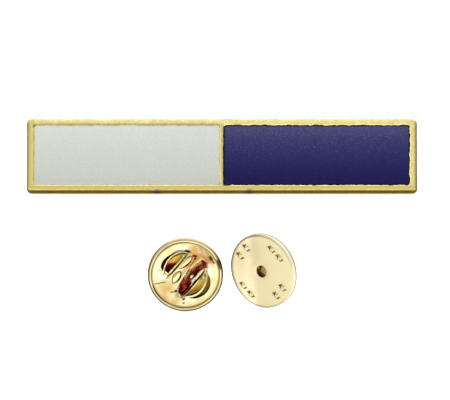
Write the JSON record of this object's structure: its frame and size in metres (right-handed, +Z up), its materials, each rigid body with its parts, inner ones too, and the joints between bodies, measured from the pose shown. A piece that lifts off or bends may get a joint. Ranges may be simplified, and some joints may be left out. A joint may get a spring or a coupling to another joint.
{
  "type": "ribbon bar with two loose butterfly clutches",
  "caption": "Long, low gilt bar with a pale and a dark blue enamel field side by side, leaning on its back posts, with its butterfly clutches taken off.",
  "frame": {"origin": "middle of the bar's back face, between its two posts", "axes": "+X along the bar towards its blue end, +Z up from the floor, +Y horizontally from the clutches towards the back of the bar"},
  "size_m": [0.0606, 0.0729, 0.0115],
  "materials": {
    "struck_brass": "satin",
    "white_enamel": "satin",
    "blue_enamel": "satin",
    "polished_brass": "polished",
    "spring_brass": "polished"
  },
  "bodies": {
    "root": {"bar_frame": "struck_brass", "white_enamel": "white_enamel", "blue_enamel": "blue_enamel", "left_clutch_cap": "polished_brass", "left_clutch_wings": "spring_brass", "right_clutch_cap": "polished_brass", "right_clutch_wings": "spring_brass"}
  },
  "joints": []
}
